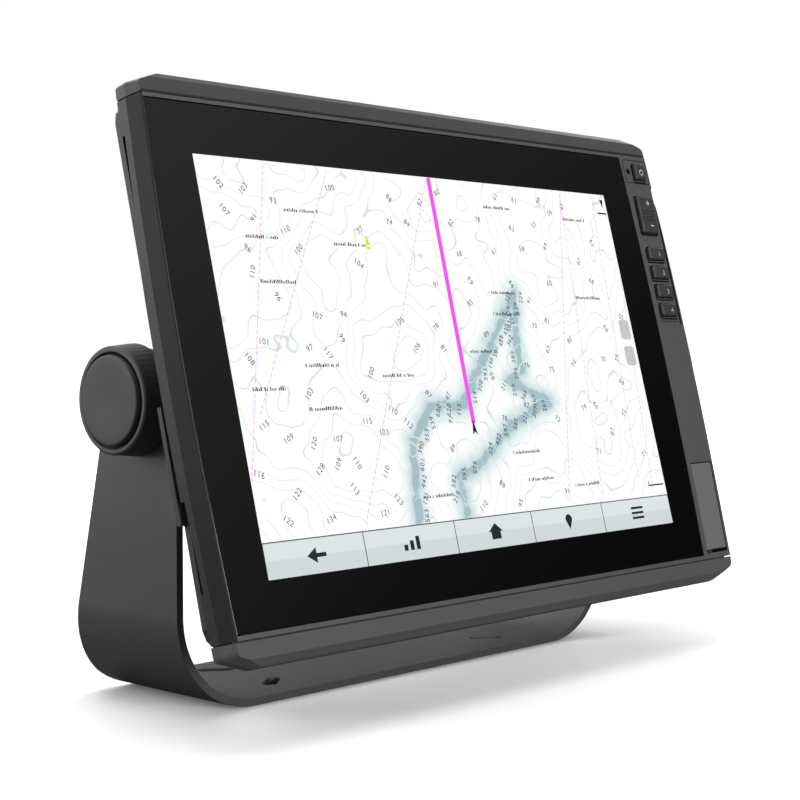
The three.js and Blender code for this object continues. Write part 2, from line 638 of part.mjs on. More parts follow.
// The side ear that a knob's stud screws into: a round boss with a rib in front of it.
function ear(side) {
  const tip = EAR_HALF_WIDTH - 4;
  const rib = [[100, 24], [124, 36], [tip, 50], [tip, PIVOT_DEPTH], [100, PIVOT_DEPTH]];
  const heights = [-EAR_RIB - PIVOT_DROP, EAR_RIB - PIVOT_DROP];
  const web = profileAlongZ(rib.map(([x, y]) => [side * x, y]), heights);
  const ends = [side * 100, side * EAR_HALF_WIDTH].sort((a, b) => a - b);
  return join(web, rod('x', EAR_RADIUS, ends, [PIVOT_DEPTH, -PIVOT_DROP], 40));
}

function earBore(side) {
  const ends = [side * (EAR_HALF_WIDTH - 16.3), side * (EAR_HALF_WIDTH + 1)].sort((a, b) => a - b);
  return rod('x', 7 + GAP, ends, [PIVOT_DEPTH, -PIVOT_DROP], 28);
}

function rearHousing() {
  const flange = plate(roundedRect(FLANGE.halfWidth, FLANGE.halfHeight, 8), [FLANGE.front, FLANGE.back]);
  const body = loft(housingSkin(0));
  const fins = Array.from({ length: FIN.count }, (_, i) => {
    const x = (i - (FIN.count - 1) / 2) * FIN.pitch;
    const width = [x - FIN.halfThickness, x + FIN.halfThickness];
    return block(width, [BACK_DEPTH - 1, FIN_DEPTH], [FIN.bottom, FIN.top]);
  });
  const panel = plate(shifted(roundedRect(102, 27, 4), 0, SOCKET_Z), [BACK_DEPTH - 1, PANEL_DEPTH]);
  const rails = [-1, 1].map((side) => {
    const edges = [side * 160, side * 165.3].sort((a, b) => a - b);
    return block(edges, [FLANGE.front + 0.6, FLANGE.back], [-58, -13.8]);
  });
  const cavity = loft([
    { y: FLANGE.front - 1, outline: roundedRect(145, 91, 8) },
    ...housingSkin(WALL).slice(0, 2),
    { y: BACK_DEPTH - BACK_WALL, outline: roundedRect(112, 82, 10) },
  ]);
  const through = [40, PANEL_DEPTH + 1];
  const socketHoles = SOCKETS.map(({ x, radius }) => rod('y', radius - 1 + GAP, through, [x, SOCKET_Z], 16));
  const ventHole = rod('y', VENT.radius - 1.5 + GAP, through, [VENT.x, VENT.z], 16);
  const bolts = screwHoles([FLANGE.front - 1, FLANGE.back + 2]);
  const outside = join(flange, body, panel, ear(-1), ear(1), ...fins, ...rails);
  return cut(outside, cavity, earBore(-1), earBore(1), ...socketHoles, ventHole, ...bolts);
}

const housingGasket = () => plate(
  roundedRect(161, 103.6, 7), [FRAME_DEPTH + GAP, FLANGE.front - GAP], roundedRect(159, 101.6, 6));

// A panel socket: a threaded body through the wall, a flange, and a barrel with a shallow mouth.
function panelSocket({ x, radius }) {
  const seat = PANEL_DEPTH + GAP;
  return turned('y', [
    [BACK_DEPTH - 16, 0], [BACK_DEPTH - 16, radius - 1], [seat, radius - 1],
    [seat, radius + 2.2], [seat + 1.6, radius + 2.2], [seat + 1.6, radius],
    [seat + 8.4, radius], [seat + 9, radius - 0.6], [seat + 9, radius - 1.6],
    [seat + 5.6, radius - 1.6], [seat + 5.6, 0],
  ], [x, SOCKET_Z], 16);
}

function breatherVent() {
  const seat = PANEL_DEPTH + GAP;
  return turned('y', [
    [BACK_DEPTH - 6, 0], [BACK_DEPTH - 6, VENT.radius - 1.5], [seat, VENT.radius - 1.5],
    [seat, VENT.radius], [seat + 1.6, VENT.radius - 0.4], [seat + 1.6, 0],
  ], [VENT.x, VENT.z], 12);
}

// ---- assembly --------------------------------------------------------------------------------------

function named(name, shape, material) {
  const mesh = new THREE.Mesh(geometryOf(shape), material);
  mesh.name = name;
  return mesh;
}

const headPieces = new THREE.Group();
headPieces.position.set(0, -PIVOT_DEPTH, PIVOT_DROP);
headPieces.add(
  named('front_frame', frontFrame(), MATERIAL.housing),
  named('top_trim_cap', trimCap(1), MATERIAL.trim),
  named('bottom_trim_cap', trimCap(-1), MATERIAL.trim),
  named('cover_glass', coverGlass(), MATERIAL.glass),
  named('glass_adhesive', glassAdhesive(), MATERIAL.rubber),
  named('lcd_panel', lcdPanel(), MATERIAL.screen),
  named('backlight_unit', backlightUnit(), MATERIAL.aluminium),
  named('display_chassis', displayChassis(), MATERIAL.aluminium),
  named('main_board', mainBoard(), MATERIAL.board),
  named('io_board', ioBoard(), MATERIAL.board),
  named('board_shield', boardShield(), MATERIAL.steel),
  named('heat_spreader', heatSpreader(), MATERIAL.aluminium),
  named('gps_antenna', gpsAntenna(), MATERIAL.ceramic),
  named('backup_battery', backupBattery(), MATERIAL.steel),
  named('buzzer', buzzer(), MATERIAL.socket),
  named('lcd_ribbon', lcdRibbon(), MATERIAL.film),
  named('keypad_ribbon', keypadRibbon(), MATERIAL.film),
  named('keypad_membrane', keypadMembrane(), MATERIAL.rubber),
  named('keypad_board', keypadBoard(), MATERIAL.board),
  named('light_sensor', lightSensor(), MATERIAL.glass),
  named('card_door', cardDoor(), MATERIAL.trim),
  named('card_door_pin', cardDoorPin(), MATERIAL.steel),
  named('card_door_seal', cardDoorSeal(), MATERIAL.rubber),
  named('card_reader', cardReader(), MATERIAL.socket),
  named('rear_housing', rearHousing(), MATERIAL.housing),
  named('housing_gasket', housingGasket(), MATERIAL.rubber),
  named('breather_vent', breatherVent(), MATERIAL.socket),
);
for (const place of keyPlaces()) headPieces.add(named(place.name, keyCap(place), MATERIAL.key));
for (const socket of SOCKETS) headPieces.add(named(socket.name, panelSocket(socket), MATERIAL.socket));
SCREWS.forEach((at, i) => {
  headPieces.add(named(`housing_screw_${i + 1}`, housingScrew(at), MATERIAL.steel));
});

// The knobs' pieces lie on the tilt axis; the left-hand set is the right-hand one turned half round.
const axisPieces = new THREE.Group();
for (const [side, turn] of [['left', Math.PI], ['right', 0]]) {
  const set = new THREE.Group();
  set.rotation.z = turn;
  set.add(
    named(`${side}_knob`, knobShell(), MATERIAL.knob),
    named(`${side}_knob_crown`, knobCrown(), MATERIAL.knob),
    named(`${side}_knob_stud`, knobStud(), MATERIAL.steel),
    named(`${side}_outer_washer`, outerWasher(), MATERIAL.rubber),
    named(`${side}_inner_washer`, innerWasher(), MATERIAL.rubber),
    named(`${side}_ear_insert`, earInsert(), MATERIAL.brass),
  );
  axisPieces.add(set);
}

const head = new THREE.Group();
head.position.set(0, PIVOT.y, PIVOT.z);
head.rotation.x = -TILT;
head.add(headPieces, axisPieces);

const chartplotter = new THREE.Group();
chartplotter.add(named('bail_bracket', bailBracket(), MATERIAL.bracket), head);

export default chartplotter;
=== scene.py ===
"""Looks for a chartplotter display on a tilting bail bracket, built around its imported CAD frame."""

import json
import math
import random

import bmesh
import bpy
from mathutils import Matrix, Vector


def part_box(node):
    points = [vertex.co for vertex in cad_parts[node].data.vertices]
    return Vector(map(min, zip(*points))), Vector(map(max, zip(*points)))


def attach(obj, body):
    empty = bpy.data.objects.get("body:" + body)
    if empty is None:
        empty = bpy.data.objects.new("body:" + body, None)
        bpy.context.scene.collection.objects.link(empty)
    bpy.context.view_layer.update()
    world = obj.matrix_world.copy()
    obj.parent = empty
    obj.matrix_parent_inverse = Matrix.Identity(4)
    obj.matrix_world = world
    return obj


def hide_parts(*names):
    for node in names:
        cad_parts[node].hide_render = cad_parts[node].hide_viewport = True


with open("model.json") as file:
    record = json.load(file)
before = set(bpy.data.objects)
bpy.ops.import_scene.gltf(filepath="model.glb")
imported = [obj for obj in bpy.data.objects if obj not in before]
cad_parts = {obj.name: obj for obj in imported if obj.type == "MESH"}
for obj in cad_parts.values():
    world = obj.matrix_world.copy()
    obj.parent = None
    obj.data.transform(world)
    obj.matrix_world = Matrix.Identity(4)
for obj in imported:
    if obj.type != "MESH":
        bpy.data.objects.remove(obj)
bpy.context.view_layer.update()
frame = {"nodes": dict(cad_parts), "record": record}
nodes = frame["nodes"]
record = frame["record"]
joints = {joint["name"]: joint for joint in record["behaviour"]["joints"]}

MM = 0.001

# ---- the head's own space ----------------------------------------------------------------------------
# Upright, in millimetres: x to the right, y to the rear from the front face, z up from the head's centre.

PIVOT_DEPTH = 59.8
PIVOT_DROP = 1.3
PIVOT = Vector(joints["tilt"]["pos_m"])
REARWARD = Vector(joints["power_key_press"]["axis"])
LEAN = math.atan2(-REARWARD.z, REARWARD.y)
HEAD_SPACE = (
    Matrix.Translation(PIVOT)
    @ Matrix.Rotation(-LEAN, 4, "X")
    @ Matrix.Scale(MM, 4)
    @ Matrix.Translation((0, -PIVOT_DEPTH, PIVOT_DROP))
)
AXIS_SPACE = Matrix.Translation(PIVOT) @ Matrix.Scale(MM, 4)
ROW_SPACE = Matrix.Scale(MM, 4)

# ---- mesh helpers --------------------------------------------------------------------------------------

BEVEL_SEGMENTS = 3
FLAT_WEIGHT = 80
FLAT_ANGLE = 0.4
CORNER_STEPS = 6


def add_piece(name, verts, faces, space, body, material, slot=None):
    """A mesh piece from points in a space, riding on a body."""
    mesh = bpy.data.meshes.new(name)
    mesh.from_pydata([space @ Vector(v) for v in verts], [], faces)
    mesh.materials.append(material)
    mesh.validate()
    piece = bpy.data.objects.new(name, mesh)
    bpy.context.scene.collection.objects.link(piece)
    fix_normals(mesh)
    smooth(piece)
    if body:
        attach(piece, body)
    return piece


def fix_normals(mesh):
    """Turns all faces outwards."""
    work = bmesh.new()
    work.from_mesh(mesh)
    bmesh.ops.recalc_face_normals(work, faces=work.faces)
    work.to_mesh(mesh)
    work.free()


def smooth(piece):
    for face in piece.data.polygons:
        face.use_smooth = True


def bevel(piece, width, angle=28):
    """Rounded edges, with the flat faces kept flat. Only edges sharper than the angle are rounded."""
    rounding = piece.modifiers.new("rounding", "BEVEL")
    rounding.width = width * MM
    rounding.segments = BEVEL_SEGMENTS
    rounding.limit_method = "ANGLE"
    rounding.angle_limit = math.radians(angle)
    rounding.use_clamp_overlap = True
    normals = piece.modifiers.new("normals", "WEIGHTED_NORMAL")
    normals.weight = FLAT_WEIGHT


def merge_flat(piece):
    """Joins the flat triangles of a CAD node before it is bevelled."""
    flat = piece.modifiers.new("flat", "DECIMATE")
    flat.decimate_type = "DISSOLVE"
    flat.delimit = {"MATERIAL"}
    flat.angle_limit = math.radians(FLAT_ANGLE)


def prism(outline, axis, low, high):
    """Points and faces of an outline pushed along an axis. The outline gives the other two coordinates."""
    count = len(outline)

    def point(u, v, w):
        return {"x": (w, u, v), "y": (u, w, v), "z": (u, v, w)}[axis]

    verts = [point(u, v, low) for u, v in outline] + [point(u, v, high) for u, v in outline]
    faces = [tuple(range(count)), tuple(range(2 * count - 1, count - 1, -1))]
    faces += [(i, (i + 1) % count, count + (i + 1) % count, count + i) for i in range(count)]
    return verts, faces


def turned(profile, sides, wave=None):
    """Points and faces of a profile of (x, radius) turned about x. wave changes a radius at an angle."""
    verts = []
    for x, radius in profile:
        for i in range(sides):
            angle = 2 * math.pi * i / sides
            r = wave(x, radius, angle) if wave else radius
            verts.append((x, r * math.cos(angle), r * math.sin(angle)))
    faces = []
    rings = len(profile)
    for k in range(rings - 1):
        for i in range(sides):
            j = (i + 1) % sides
            faces.append((k * sides + i, k * sides + j, (k + 1) * sides + j, (k + 1) * sides + i))
    faces.append(tuple(range(sides - 1, -1, -1)))
    faces.append(tuple((rings - 1) * sides + i for i in range(sides)))
    return verts, faces


def arc(centre, radius, start, end, steps):
    """Points on an arc, with angles in degrees."""
    points = []
    for i in range(steps + 1):
        angle = math.radians(start + (end - start) * i / steps)
        points.append((centre[0] + radius * math.cos(angle), centre[1] + radius * math.sin(angle)))
    return points


def rounded_box(x, z, half_width, half_height, radius):
    """The outline of a rectangle with round corners about a centre."""
    corners = [(1, 1, 0), (-1, 1, 90), (-1, -1, 180), (1, -1, 270)]
    outline = []
    for sx, sz, start in corners:
        centre = (x + sx * (half_width - radius), z + sz * (half_height - radius))
        outline += arc(centre, radius, start, start + 90, CORNER_STEPS)
    return outline


# ---- materials -----------------------------------------------------------------------------------------

BLACK = (0, 0, 0, 1)
WHITE = (1, 1, 1, 1)
GRAIN_HEIGHT = 0.0002
PATCH_SCALE = 26
MOTTLING = 0.12
GLOSS_SPREAD = 0.05

# How the chart is shaded from the canyon's walls outwards: (share of the reach, colour).
CHART_SHADES = [
    (0.0, (0.38, 0.53, 0.56)),
    (0.16, (0.4, 0.54, 0.57)),
    (0.22, (0.58, 0.72, 0.73)),
    (0.46, (0.76, 0.86, 0.86)),
    (0.72, (0.9, 0.96, 0.95)),
    (0.98, (1, 1, 1)),
]
SHADE_REACH = 10
SHADE_WOBBLE = 6
CONTOURS = 26
CONTOUR_COLOUR = (0.7, 0.77, 0.74, 1)


def set_inputs(node, values):
    for key, value in values.items():
        node.inputs[key].default_value = value


def add_node(tree, kind, values=None, **settings):
    """A new node with its settings made, and the given inputs set by name or by number."""
    made = tree.nodes.new("ShaderNode" + kind)
    for setting, value in settings.items():
        setattr(made, setting, value)
    set_inputs(made, values or {})
    return made


def new_material(name):
    material = bpy.data.materials.new(name)
    material.use_nodes = True
    tree = material.node_tree
    return material, tree, tree.nodes["Principled BSDF"]


def grey(level):
    """Linear colour of a grey level out of 255, a touch bluer than neutral."""
    value = level / 255
    linear = value / 12.92 if value <= 0.04045 else ((value + 0.055) / 1.055) ** 2.4
    return (linear, linear, linear * 1.02, 1)


def textured(name, colour, roughness, grain, depth, specular=0.5):
    """A finish with a fine raised grain, and a little unevenness in its colour and gloss."""
    material, tree, shader = new_material(name)
    link = tree.links.new
    place = add_node(tree, "TexCoord")
    fine = add_node(tree, "TexNoise", {"Scale": grain, "Detail": 3})
    patches = add_node(tree, "TexNoise", {"Scale": PATCH_SCALE, "Detail": 4})
    raised = add_node(tree, "Bump", {"Strength": depth, "Distance": GRAIN_HEIGHT})
    tint = add_node(tree, "MapRange", {"To Min": 1 - MOTTLING, "To Max": 1 + MOTTLING})
    tinted = add_node(tree, "VectorMath", {0: colour[:3]}, operation="SCALE")
    limits = {"To Min": roughness - GLOSS_SPREAD, "To Max": roughness + GLOSS_SPREAD}
    gloss = add_node(tree, "MapRange", limits)
    link(place.outputs["Object"], fine.inputs["Vector"])
    link(place.outputs["Object"], patches.inputs["Vector"])
    link(fine.outputs["Fac"], raised.inputs["Height"])
    link(raised.outputs["Normal"], shader.inputs["Normal"])
    link(patches.outputs["Fac"], tint.inputs["Value"])
    link(tint.outputs["Result"], tinted.inputs["Scale"])
    link(tinted.outputs["Vector"], shader.inputs["Base Color"])
    link(fine.outputs["Fac"], gloss.inputs["Value"])
    link(gloss.outputs["Result"], shader.inputs["Roughness"])
    set_inputs(shader, {"Metallic": 0, "Specular IOR Level": specular})
    return material


def brushed(name, colour, roughness):
    """Bare metal with fine drawn lines along X."""
    material, tree, shader = new_material(name)
    link = tree.links.new
    place = add_node(tree, "TexCoord")
    stretch = add_node(tree, "Mapping", {"Scale": (60, 3000, 3000)})
    drawn = add_node(tree, "TexNoise", {"Scale": 1})
    raised = add_node(tree, "Bump", {"Strength": 0.15, "Distance": 0.0001})
    link(place.outputs["Object"], stretch.inputs["Vector"])
    link(stretch.outputs["Vector"], drawn.inputs["Vector"])
    link(drawn.outputs["Fac"], raised.inputs["Height"])
    link(raised.outputs["Normal"], shader.inputs["Normal"])
    set_inputs(shader, {"Base Color": colour, "Metallic": 1, "Roughness": roughness})
    return material


def black_glass():
    """Glass with a black border printed behind it, and the faintest unevenness of polish."""
    material, tree, shader = new_material("black_glass")
    link = tree.links.new
    place = add_node(tree, "TexCoord")
    haze = add_node(tree, "TexNoise", {"Scale": 14})
    spread = add_node(tree, "MapRange", {"To Min": 0.05, "To Max": 0.09})
    link(place.outputs["Object"], haze.inputs["Vector"])
    link(haze.outputs["Fac"], spread.inputs["Value"])
    link(spread.outputs["Result"], shader.inputs["Roughness"])
    set_inputs(shader, {"Base Color": (0.0012, 0.0012, 0.0013, 1), "IOR": 1.5})
    return material


def make_display(shader):
    """Turns a shader into the face of the display, whose light is its only colour."""
    set_inputs(shader, {"Base Color": BLACK, "Roughness": 0.2, "Specular IOR Level": 0.2,
                        "Emission Strength": 1})


def lit(name, colour):
    """A colour shown by the display."""
    material, _, shader = new_material(name)
    make_display(shader)
    set_inputs(shader, {"Emission Color": (*colour, 1)})
    return material


def see_through(name, colour, amount):
    """A tint laid over the chart."""
    material, _, shader = new_material(name)
    set_inputs(shader, {"Base Color": BLACK, "Emission Color": (*colour, 1), "Emission Strength": 1,
                        "Alpha": amount})
    return material


def canyon_shading(tree, place):
    """The chart's colour by the distance to the canyon's walls, with an uneven edge."""
    link = tree.links.new
    distance = add_node(tree, "Attribute", attribute_name="canyon")
    wobble = add_node(tree, "TexNoise", {"Scale": 180, "Detail": 3})
    shift = add_node(tree, "Math", {1: SHADE_WOBBLE, 2: -SHADE_WOBBLE / 2}, operation="MULTIPLY_ADD")
    total = add_node(tree, "Math", operation="ADD")
    share = add_node(tree, "Math", {1: SHADE_REACH}, operation="DIVIDE")
    water = add_node(tree, "ValToRGB")
    stops = water.color_ramp.elements
    while len(stops) < len(CHART_SHADES):
        stops.new(0.5)
    for stop, (at, colour) in zip(stops, CHART_SHADES):
        stop.position = at
        stop.color = (*colour, 1)
    link(place.outputs["Object"], wobble.inputs["Vector"])
    link(wobble.outputs["Fac"], shift.inputs[0])
    link(distance.outputs["Fac"], total.inputs[0])
    link(shift.outputs["Value"], total.inputs[1])
    link(total.outputs["Value"], share.inputs[0])
    link(share.outputs["Value"], water.inputs["Fac"])
    return water


def contour_lines(tree, place):
    """Nought on the thin contour lines of an imaginary sea bed, and one between them."""
    link = tree.links.new
    ground = add_node(tree, "TexNoise", {"Scale": 13, "Detail": 3, "Roughness": 0.45})
    levels = add_node(tree, "Math", {1: CONTOURS}, operation="MULTIPLY")
    wave = add_node(tree, "Math", {1: 0.5}, operation="PINGPONG")
    line = add_node(tree, "MapRange", {"From Min": 0.01, "From Max": 0.045})
    link(place.outputs["Object"], ground.inputs["Vector"])
    link(ground.outputs["Fac"], levels.inputs[0])
    link(levels.outputs["Value"], wave.inputs[0])
    link(wave.outputs["Value"], line.inputs["Value"])
    return line


def chart_material():
    """White water with pale contour lines, and blue-green shading close to the canyon."""
    material, tree, shader = new_material("chart")
    link = tree.links.new
    place = add_node(tree, "TexCoord")
    water = canyon_shading(tree, place)
    line = contour_lines(tree, place)
    mix = add_node(tree, "Mix", {"A": CONTOUR_COLOUR}, data_type="RGBA")
    link(line.outputs["Result"], mix.inputs["Factor"])
    link(water.outputs["Color"], mix.inputs["B"])
    link(mix.outputs["Result"], shader.inputs["Emission Color"])
    make_display(shader)
    return material


def paint(node, material):
    node.data.materials.clear()
    node.data.materials.append(material)


FINISH = {
    "bracket_paint": textured("bracket_paint", grey(66), 0.42, 2600, 0.35, specular=0.45),
    "knob_plastic": textured("knob_plastic", grey(50), 0.5, 3200, 0.4),
    "frame_plastic": textured("frame_plastic", grey(33), 0.48, 3200, 0.35, specular=0.4),
    "trim_plastic": textured("trim_plastic", grey(46), 0.48, 3200, 0.35),
    "key_plastic": textured("key_plastic", grey(46), 0.5, 3600, 0.3),
    "cover_glass": black_glass(),
    "lcd_film": textured("lcd_film", grey(200), 0.3, 900, 0.02),
    "backlight_plastic": textured("backlight_plastic", grey(215), 0.5, 1500, 0.1),
    "housing_casting": textured("housing_casting", grey(48), 0.46, 1900, 0.6, specular=0.4),
    "chassis_aluminium": brushed("chassis_aluminium", grey(190), 0.38),
    "board_laminate": textured("board_laminate", (0.012, 0.1, 0.035, 1), 0.35, 700, 0.1),
    "seal_rubber": textured("seal_rubber", grey(28), 0.75, 2200, 0.3),
    "screw_steel": brushed("screw_steel", grey(185), 0.28),
    "insert_brass": brushed("insert_brass", (0.58, 0.39, 0.13, 1), 0.3),
    "socket_plastic": textured("socket_plastic", grey(30), 0.42, 2600, 0.3),
    "ribbon_film": textured("ribbon_film", (0.42, 0.16, 0.03, 1), 0.35, 600, 0.05),
    "antenna_ceramic": textured("antenna_ceramic", (0.6, 0.56, 0.46, 1), 0.55, 1200, 0.1),
}
# A lighter copy of the frame plastic for the frame's front face: painted light.
FRONT_PAINTED_LIGHT = textured("frame_front_painted_light", grey(70), 0.48, 3200, 0.35)
# A lighter copy of the trim plastic for the card door: painted highlight.
DOOR_PAINTED_HIGHLIGHT = textured("door_painted_highlight", grey(94), 0.48, 3200, 0.35)
# A darker copy of the frame plastic for the frame's slanting facet: painted shade.
FACET_PAINTED_SHADE = textured("frame_facet_painted_shade", grey(20), 0.55, 3200, 0.3, specular=0.3)
# A lighter copy of the trim plastic for the bottom cap, lighter than the top cap's: painted light.
LOWER_TRIM_PAINTED_LIGHT = textured("lower_trim_painted_light", grey(74), 0.48, 3200, 0.35)
# Nearly black: the thin ruled lines of the key column, and the painted shadow round each key's opening.
DARK_LINE_AND_PAINTED_SHADOW = textured("dark_line_and_painted_shadow", grey(8), 0.85, 2000, 0.1, specular=0.08)
LEGEND = textured("key_legend", grey(190), 0.5, 1500, 0.05)

for entry in record["subparts"]:
    node = nodes[entry["node"]]
    paint(node, FINISH[entry["material_slot"]])
    smooth(node)
# The card door's lighter plastic is painted highlight.
paint(nodes["card_door"], DOOR_PAINTED_HIGHLIGHT)
# The bottom trim cap's lighter plastic is painted light.
paint(nodes["bottom_trim_cap"], LOWER_TRIM_PAINTED_LIGHT)

# Painted light and shade: the frame's front face gets a lighter copy of its plastic, and the slanting facet
# between front and sides a darker copy, chosen by which way each face points.
frame_mesh = nodes["front_frame"].data
frame_mesh.materials.append(FRONT_PAINTED_LIGHT)
frame_mesh.materials.append(FACET_PAINTED_SHADE)
for face in frame_mesh.polygons:
    facing = -face.normal.dot(REARWARD)
    if facing > 0.9:
        face.material_index = 1
    elif facing > 0.1:
        face.material_index = 2

# Edge rounding of the CAD nodes that stay, in millimetres.
ROUNDING = {
    "front_frame": 0.35, "top_trim_cap": 0.55, "bottom_trim_cap": 0.55, "card_door": 0.45,
    "rear_housing": 0.9, "power_key": 0.3, "zoom_rocker": 0.3, "light_sensor": 0.15, "housing_gasket": 0.2,
    "power_socket": 0.3, "data_bus_socket": 0.3, "network_socket_a": 0.3, "network_socket_b": 0.3,
    "sonar_socket": 0.3, "breather_vent": 0.3, "display_chassis": 0.2,
}
SOFTKEYS = [f"softkey_{i}" for i in range(1, 5)]
WASHERS = [f"{side}_{layer}_washer" for side in ("left", "right") for layer in ("inner", "outer")]
ROUNDING.update({name: 0.3 for name in SOFTKEYS})
ROUNDING.update({f"housing_screw_{i}": 0.2 for i in range(1, 9)})
ROUNDING.update({name: 0.25 for name in WASHERS})
for name, width in ROUNDING.items():
    merge_flat(nodes[name])
    bevel(nodes[name], width)

# ---- bracket -------------------------------------------------------------------------------------------

SHEET = 3.2
HALF_WIDTH = 139
HALF_DEPTH = 35.9
BEND = 40.5
EYE = 20.5
FLARE = 0.23
KINK = 85  # where the arm's front edge starts to lean back to the eye
STUD_HOLE = 5.6
SLOTS = [(-71, -16, 38), (71, -16, -38), (-71, 20, -38), (71, 20, 38)]
SLOT_LENGTH = 16.6
SLOT_WIDTH = 6.2


def band_outline():
    """The bent sheet seen from the front, left open above the arms."""
    inner = BEND - SHEET
    centre = HALF_WIDTH - BEND
    top = PIVOT.z / MM + EYE + 1
    outline = [(-HALF_WIDTH, top)]
    outline += arc((-centre, BEND), BEND, 180, 270, 40) + arc((centre, BEND), BEND, 270, 360, 40)
    outline += [(HALF_WIDTH, top), (HALF_WIDTH - SHEET, top)]
    outline += arc((centre, BEND), inner, 360, 270, 40) + arc((-centre, BEND), inner, 270, 180, 40)
    outline += [(-HALF_WIDTH + SHEET, top)]
    return outline


def arm_outline():
    """An arm seen from the side: a round eye, a leaning rear edge, and its flare into the base."""
    centre = (PIVOT.y / MM, PIVOT.z / MM)
    eye = arc(centre, EYE, 180, math.degrees(math.atan(FLARE)), 48)
    end_y, end_z = eye[-1]
    bend_y = end_y + FLARE * (end_z - BEND)
    turn = (HALF_DEPTH - bend_y) / (FLARE * BEND)
    steps = 20
    flare = []
    for i in range(steps + 1):
        angle = turn * i / steps
        flare.append((bend_y + FLARE * BEND * angle, BEND * (1 - math.sin(angle))))
    return [(-HALF_DEPTH, -1), (-HALF_DEPTH, KINK)] + eye + flare + [(HALF_DEPTH, -1)]


def boolean(piece, cutter, operation):
    """Cuts a piece by another, which is used up."""
    step = piece.modifiers.new("cut", "BOOLEAN")
    step.object = cutter
    step.operation = operation
    step.solver = "EXACT"
    bpy.context.view_layer.update()
    done = bpy.data.meshes.new_from_object(piece.evaluated_get(bpy.context.evaluated_depsgraph_get()))
    piece.modifiers.clear()
    piece.data = done
    bpy.data.objects.remove(cutter)


def bracket_piece():
    """The sheet cut to the arms' side view, with its stud holes and base slots."""
    finish = FINISH["bracket_paint"]
    piece = add_piece("bracket_sheet", *prism(band_outline(), "y", -HALF_DEPTH, HALF_DEPTH), ROW_SPACE,
                      None, finish)
    reach = HALF_WIDTH + 1
    arms = add_piece("arms", *prism(arm_outline(), "x", -reach, reach), ROW_SPACE, None, finish)
    boolean(piece, arms, "INTERSECT")
    hole_outline = arc((PIVOT.y / MM, PIVOT.z / MM), STUD_HOLE, 0, 354, 59)
    hole = add_piece("hole", *prism(hole_outline, "x", -reach, reach), ROW_SPACE, None, finish)
    boolean(piece, hole, "DIFFERENCE")
    half = (SLOT_LENGTH - SLOT_WIDTH) / 2
    for x, y, turn in SLOTS:
        outline = arc((half, 0), SLOT_WIDTH / 2, -90, 90, 16) + arc((-half, 0), SLOT_WIDTH / 2, 90, 270, 16)
        place = Matrix.Translation((x, y, 0)) @ Matrix.Rotation(math.radians(turn), 4, "Z")
        slot = add_piece("slot", *prism(outline, "z", -1, SHEET + 1), ROW_SPACE @ place, None, finish)
        boolean(piece, slot, "DIFFERENCE")
    smooth(piece)
    bevel(piece, 0.55, angle=40)
    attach(piece, "bracket")
    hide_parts("bail_bracket")


bracket_piece()

# ---- knobs ---------------------------------------------------------------------------------------------
# Millimetres out from the arm's outer face, and from the tilt axis.

KNOB_START = 1.0
KNOB_FACE = 13.7
KNOB_CROWN = 15.1
KNOB_RADIUS = 22.3
POCKET_RADIUS = 14.6
POCKET_DEPTH = 3
BASE_ROUND = 1.4
RIM_RADIUS = 21.3
RIM_ROUND = 1.1
CROWN_RADIUS = 17.8
CROWN_ROUND = 0.9
GROOVE_RADIUS = CROWN_RADIUS + 1.5
GROOVE_ROUND = 0.35
GROOVE_DEPTH = 1.1
FLUTES = 48
FLUTE_DEPTH = 0.09


def rounded_corner(x, radius, size, steps):
    """A quarter round that turns from the side to the face, about a centre at (x, radius)."""
    return [(x + v, radius + u) for u, v in arc((0, 0), size, 0, 90, steps)]


def knob_profile():
    """The moulded skirt: (distance out from the arm, radius), from its pocket round to its groove."""
    low = KNOB_START + BASE_ROUND
    profile = [(KNOB_START + POCKET_DEPTH, POCKET_RADIUS), (KNOB_START, POCKET_RADIUS)]
    profile += [(KNOB_START, KNOB_RADIUS - BASE_ROUND)]
    profile += [(low - v, KNOB_RADIUS - BASE_ROUND + u) for u, v in arc((0, 0), BASE_ROUND, 90, 0, 8)]
    taper = 12
    for i in range(1, taper):
        part = i / taper
        along = low + part * (KNOB_FACE - 3.2 - KNOB_START)
        profile.append((along, KNOB_RADIUS - 0.7 * part - 0.2 * part ** 2))
    profile += rounded_corner(KNOB_FACE - RIM_ROUND, RIM_RADIUS - RIM_ROUND + 0.1, RIM_ROUND, 10)
    profile += [(KNOB_FACE, GROOVE_RADIUS)]
    profile += [(KNOB_FACE - GROOVE_ROUND + v, GROOVE_RADIUS - u)
                for u, v in arc((0, 0), GROOVE_ROUND, 90, 0, 4)]
    bottom = KNOB_FACE - GROOVE_DEPTH
    profile += [(bottom, CROWN_RADIUS + 1), (bottom, CROWN_RADIUS - 2)]
    return profile


def crown_profile():
    """The separate cap that sits in the skirt's face, slightly domed."""
    profile = [(KNOB_FACE - 0.8, CROWN_RADIUS + 0.4), (KNOB_FACE + 0.2, CROWN_RADIUS + 0.1)]
    profile += rounded_corner(KNOB_CROWN - CROWN_ROUND, CROWN_RADIUS - CROWN_ROUND, CROWN_ROUND, 8)
    for part in (0.85, 0.6, 0.35, 0.12):
        profile.append((KNOB_CROWN - 0.4 * (1 - part) ** 2, (CROWN_RADIUS - CROWN_ROUND) * part))
    return profile


def flute(x, radius, angle):
    """The skirt's radius at an angle, with the shallow flutes of its grip."""
    inside = KNOB_START + 1.8 < x < KNOB_FACE - 1.6 and radius > RIM_RADIUS - 1
    return radius - (FLUTE_DEPTH * (0.5 + 0.5 * math.cos(FLUTES * angle)) if inside else 0)


